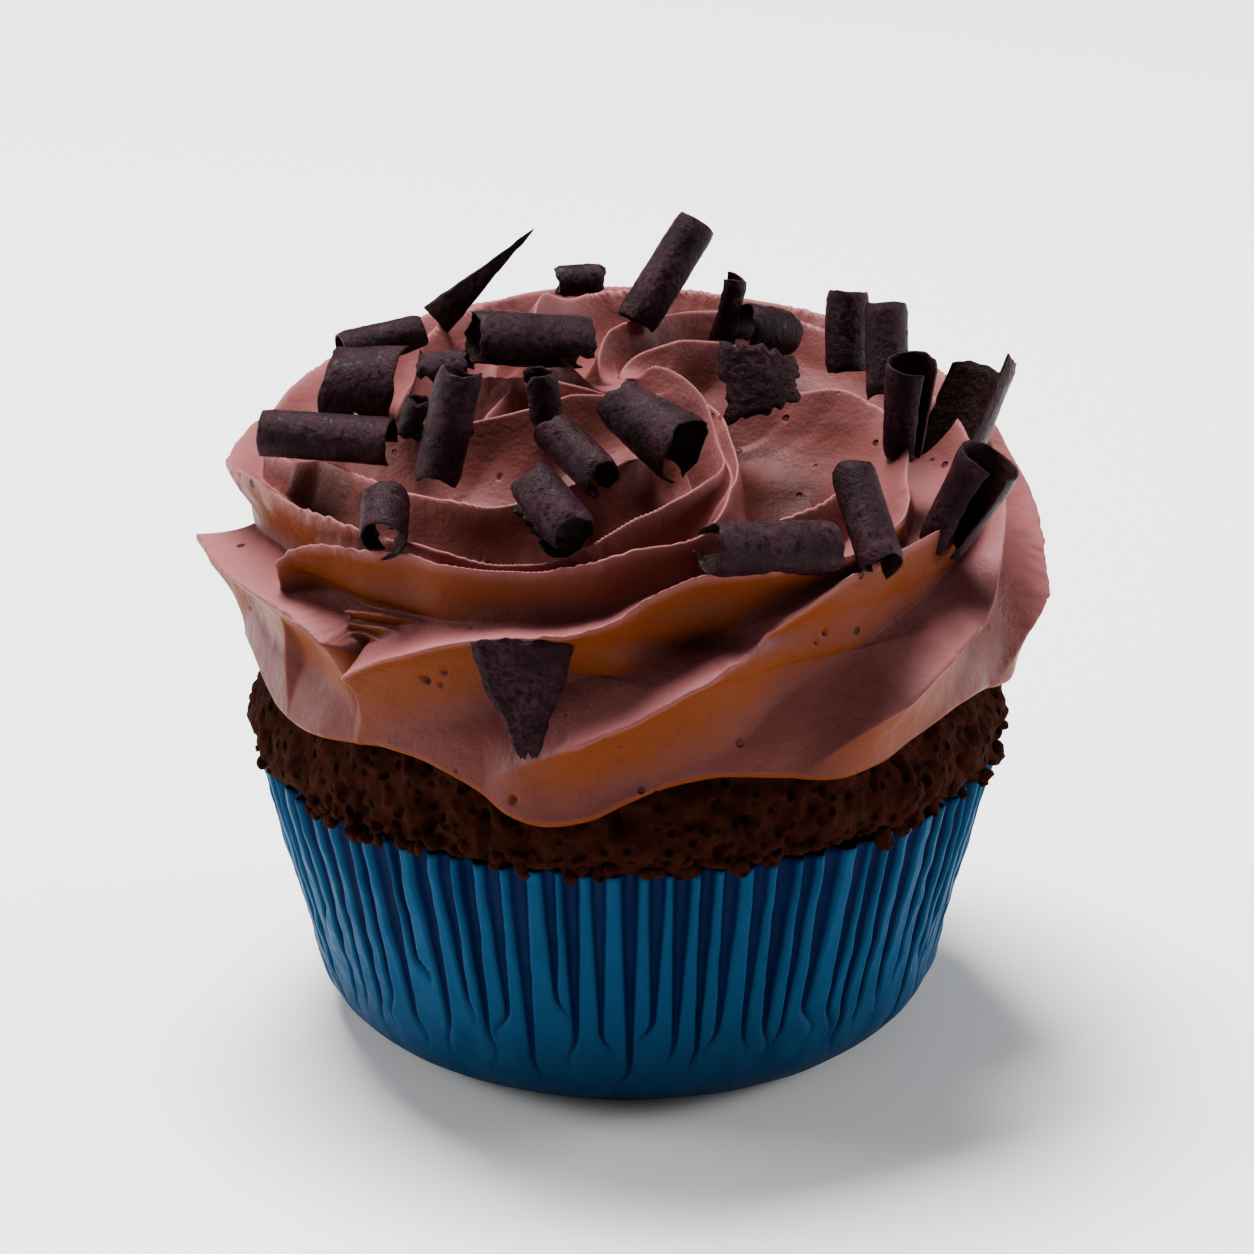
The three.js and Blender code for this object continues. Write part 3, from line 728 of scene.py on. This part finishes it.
# x, y and height above the ridges; heading, tilt and spin; radius, length and sweep; and
# how the roll grows around, tapers along, shortens, narrows, skews and how ragged it is.
CURLS = [
    dict(at=(-27.3, -9.8, 2), turn=(-12, 0, 20), radius=2.1, length=12.4, sweep=260, torn=0.1),
    dict(at=(-24.8, 1.5, 2.8), turn=(-5, 2, 50),
         radius=4, length=7.1, sweep=120, skew=1.5, torn=0.25),
    dict(at=(-23.1, 10.8, 1.7), turn=(20, 10, 0),
         radius=1.6, length=8.6, sweep=330, taper=-0.3, torn=0.12),
    dict(at=(-13.6, 18, 4.2), turn=(0, 44, 80),
         radius=5, length=13.5, sweep=42, wedge=0.9, torn=0.15),
    dict(at=(-9, 1.9, 1.9), turn=(-164, 8, 40),
         radius=2.2, length=11.6, sweep=290, growth=0.9, torn=0.75),
    dict(at=(-16.8, 2, 0.9), turn=(-10, 5, 0), radius=1.7, length=4.2, sweep=220, torn=0.8),
    dict(at=(-15.7, -15.6, 3.3), turn=(45, 72, 0),
         radius=1.4, length=10.6, sweep=370, growth=1.1, torn=0.7),
    dict(at=(-19.3, -8.2, 1.2), turn=(10, 78, 0), radius=1.1, length=4.4, sweep=300, torn=0.5),
    dict(at=(-7.6, -10.1, 1.6), turn=(0, -82, 0), radius=1.4, length=5.6, sweep=320),
    dict(at=(-4.5, -19.3, 1.5), turn=(-47, -24, 20), radius=1.7, length=7.8, sweep=320, torn=0.5),
    dict(at=(2.1, -14.9, 1.4), turn=(-42, -18, 0),
         radius=2.6, length=9, sweep=320, taper=0.4, torn=0.7),
    dict(at=(-6.8, -27.5, 1.8), turn=(-51, -28, -20),
         radius=1.5, length=7.2, sweep=380, growth=1.1, torn=0.75),
    dict(at=(-21.7, -25, 1.9), turn=(-90, -22, 10),
         radius=1.3, length=6, sweep=340, growth=1.1, torn=0.6),
    dict(at=(3.7, 15.6, 4), turn=(38, 48, 0), radius=1.8, length=11.6, sweep=330, torn=0.2),
    dict(at=(9.2, 13.2, 0.9), turn=(0, 78, 170), radius=1.3, length=8, sweep=250, torn=0.3),
    dict(at=(-4.6, 26.1, 1), turn=(10, 0, 0), radius=1.3, length=4.8, sweep=320, torn=0.7),
    dict(at=(13, 13.5, 0), turn=(-147, 19, 0),
         radius=1.4, length=6.2, sweep=340, growth=1.1, torn=0.6),
    dict(at=(12.4, -4, 1.6), turn=(-80, -62, 0),
         radius=5.5, length=8.4, sweep=75, tip=0.55, torn=1.0),
    dict(at=(12.7, -30.4, 1.5), turn=(-158, 7, -85),
         radius=1.7, length=11.8, sweep=350, growth=1.1, torn=1.0),
    dict(at=(20.9, -25.8, 2.4), turn=(-70, -41, 10),
         radius=1.3, length=10.2, sweep=350, growth=1.1, torn=0.4),
    dict(at=(20.8, 10.2, 2.4), turn=(-90, -72, 10), radius=1.8, length=8, sweep=250, torn=0.2),
    dict(at=(24.3, 5.5, 3.2), turn=(-90, -62, -20), radius=1.8, length=9.4, sweep=250, torn=0.2),
    dict(at=(25.6, -7.4, 3.4), turn=(-72, 78, 30),
         radius=1.9, length=10.2, sweep=330, taper=0.3, torn=0.35),
    dict(at=(33.4, 1.2, 2.2), turn=(40, 62, 165),
         radius=4.6, length=9.8, sweep=150, skew=2, torn=0.5),
    dict(at=(30.3, -18.2, 2.5), turn=(-16, 63, -60),
         radius=2.4, length=10.2, sweep=330, taper=0.35, torn=0.3),
    dict(at=(-8.8, -37.4, -4), turn=(-82, -76, 0),
         radius=12, length=10.6, sweep=48, wedge=0.8, torn=0.35),
]
ROLLED_SWEEP = 200                # a sheet bent less than this isn't a roll


def ridge_top(azimuth, radius):
    """Height of the ridges at a distance from the swirl's centre."""
    up = np.linspace(0.36, 1, 2000)
    outline = swirl_outline(np.full_like(up, azimuth), up)
    return float(np.interp(-radius, -outline[:, 0], outline[:, 1]))


def curl_matrix(at, turn):
    x, y, lift = at
    azimuth = math.degrees(math.atan2(x, -y))
    heading, tilt, spin = (math.radians(a) for a in turn)
    place = Vector((x, y, ridge_top(azimuth, math.hypot(x, y)) + lift))
    return Matrix.Translation(place) @ Euler((spin, -tilt, heading), "XYZ").to_matrix().to_4x4()


def curl_sheet(
    number, radius, length, sweep, growth=0, taper=0, tip=0, wedge=0, skew=0, torn=0.6
):
    """Outer and inner grids of one rolled shaving, with ragged edges, on its own axis."""
    rows, columns = ((90, 56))
    random = np.random.default_rng(100 + number)
    shift = random.uniform(0, 30, 3)
    share = np.linspace(0, 1, rows)[:, None]
    along = np.linspace(-0.5, 0.5, columns)[None, :]
    around_roll = share * sweep * radius / 57
    line = np.stack(np.broadcast_arrays(around_roll, 9 * along, 0 * share), axis=-1)
    ends = noise(line * [1, 0, 0] + shift, 1.8) + 0.4 * noise(line * [1, 0, 0] + shift, 0.6)
    sides = noise(line * [0, 1, 0] - shift, 2.4) + 0.4 * noise(line * [0, 1, 0] - shift, 0.7)
    trim = 2 * along * (torn * ends - 0.2)
    h = along * (length * (1 - tip * share)) + skew * (share - 0.5) + trim
    narrowing = 1 - wedge * (0.5 + along)
    angle = np.radians(sweep * narrowing) * (share - 0.5)
    angle = angle + (2 * share - 1) * (torn * sides - 0.15) / radius
    mean = (radius + growth * share * sweep / 360) * (1 + taper * h / length)
    mean = mean + 0.12 * noise(line + shift, 4) + 0.05 * torn * noise(line + shift, 0.9)
    edge = np.minimum(np.minimum(share, 1 - share) * 12, (0.5 - np.abs(along)) * 12)
    half = 0.5 * CURL_THICKNESS * (0.35 + 0.65 * np.clip(edge, 0, 1))
    drop = radius if sweep < ROLLED_SWEEP else 0
    sheets = []
    for side in (1, -1):
        r = mean + side * half + 0.03 * noise(line * 3 + shift * side, 1)
        sheets.append(np.stack([h, r * np.sin(angle), r * np.cos(angle) - drop], axis=-1))
    return sheets


def closed_sheet(outer, inner):
    """Two grids joined along their rims into one closed skin, and which points are inside."""
    rows, columns = outer.shape[:2]
    count = rows * columns
    index = np.arange(count).reshape(rows, columns)
    rim = np.concatenate([index[0, :-1], index[:-1, -1], index[-1, :0:-1], index[:0:-1, 0]])
    following = np.roll(rim, -1)
    bridge = np.stack([rim, rim + count, following + count, following], axis=-1)
    top = grid_faces(rows, columns)
    bottom = grid_faces(rows, columns, count)[:, ::-1]
    points = np.concatenate([outer.reshape(-1, 3), inner.reshape(-1, 3)])
    inside = np.repeat([0.0, 1.0], count)
    return points, np.concatenate([top, bottom, bridge]), inside


def curl(number, at, turn, **shape):
    points, quads, inside = closed_sheet(*curl_sheet(number, **shape))
    matrix = np.array(curl_matrix(at, turn))
    placed = points @ matrix[:3, :3].T + matrix[:3, 3]
    return make_mesh(f"curl_{number:02d}", placed, quads, {"inside": inside})


# ---------------------------------------------------------------- stage

CAMERA_PLACE = (0, -0.44505, 0.21731)
CAMERA_TILT = 68
CAMERA_LENS = 146.07
SENSOR_WIDTH = 36
AIM = (0, 0, 0.035)               # what the lights face
LIGHT_SIZE = 0.35
WORLD_STRENGTH = 0.22
FLOOR_SIZE = 4.0
FLOOR_DROP = 0.02                 # in mm, so that the case's base isn't in the floor's plane


def area_light(name, place, power):
    """A square soft light that faces the cupcake."""
    light = bpy.data.lights.new(name, "AREA")
    light.size = LIGHT_SIZE
    light.energy = power
    obj = bpy.data.objects.new(name, light)
    obj.location = place
    obj.rotation_euler = (Vector(AIM) - Vector(place)).to_track_quat("-Z", "Y").to_euler()
    bpy.context.scene.collection.objects.link(obj)


def floor():
    corners = np.array([[-1, -1, 0], [1, -1, 0], [1, 1, 0], [-1, 1, 0]]) * FLOOR_SIZE / METRES
    corners[:, 2] = -FLOOR_DROP
    obj = make_mesh("floor", corners, np.array([[0, 1, 2, 3]]))
    s = Shader("pale_floor")
    tone = s.mix(s.noise(3), colour(0.86, 0.86, 0.86), colour(0.9, 0.9, 0.9))
    obj.data.materials.append(s.finish(base_color=tone, roughness=0.7))


def studio():
    floor()
    world = bpy.data.worlds.new("studio")
    world.use_nodes = True
    background = world.node_tree.nodes["Background"]
    background.inputs["Color"].default_value = colour(1, 1, 1)
    background.inputs["Strength"].default_value = WORLD_STRENGTH
    bpy.context.scene.world = world
    area_light("top", (-0.12, 0.2, 0.75), power=24)
    area_light("left", (-0.7, 0.15, 0.15), power=7)
    area_light("right", (0.7, 0.15, 0.15), power=7)
    camera = bpy.data.objects.new("camera", bpy.data.cameras.new("camera"))
    camera.data.lens = CAMERA_LENS
    camera.data.sensor_width = SENSOR_WIDTH
    camera.location = CAMERA_PLACE
    camera.rotation_euler = (math.radians(CAMERA_TILT), 0, 0)
    bpy.context.scene.collection.objects.link(camera)
    bpy.context.scene.camera = camera


# ---------------------------------------------------------------- putting it together

crumb = cake_material()
chocolate = chocolate_material()
add_piece(paper_case(), case_material(), ["paper_case"])
add_piece(cake(), crumb, ["cake"])
add_piece(crumbs(), crumb, [])
add_piece(swirl(), frosting_material(), ["frosting"])
for number, shape in enumerate(CURLS, start=1):
    add_piece(curl(number, **shape), chocolate, [f"chocolate_curl_{number:02d}"])
studio()
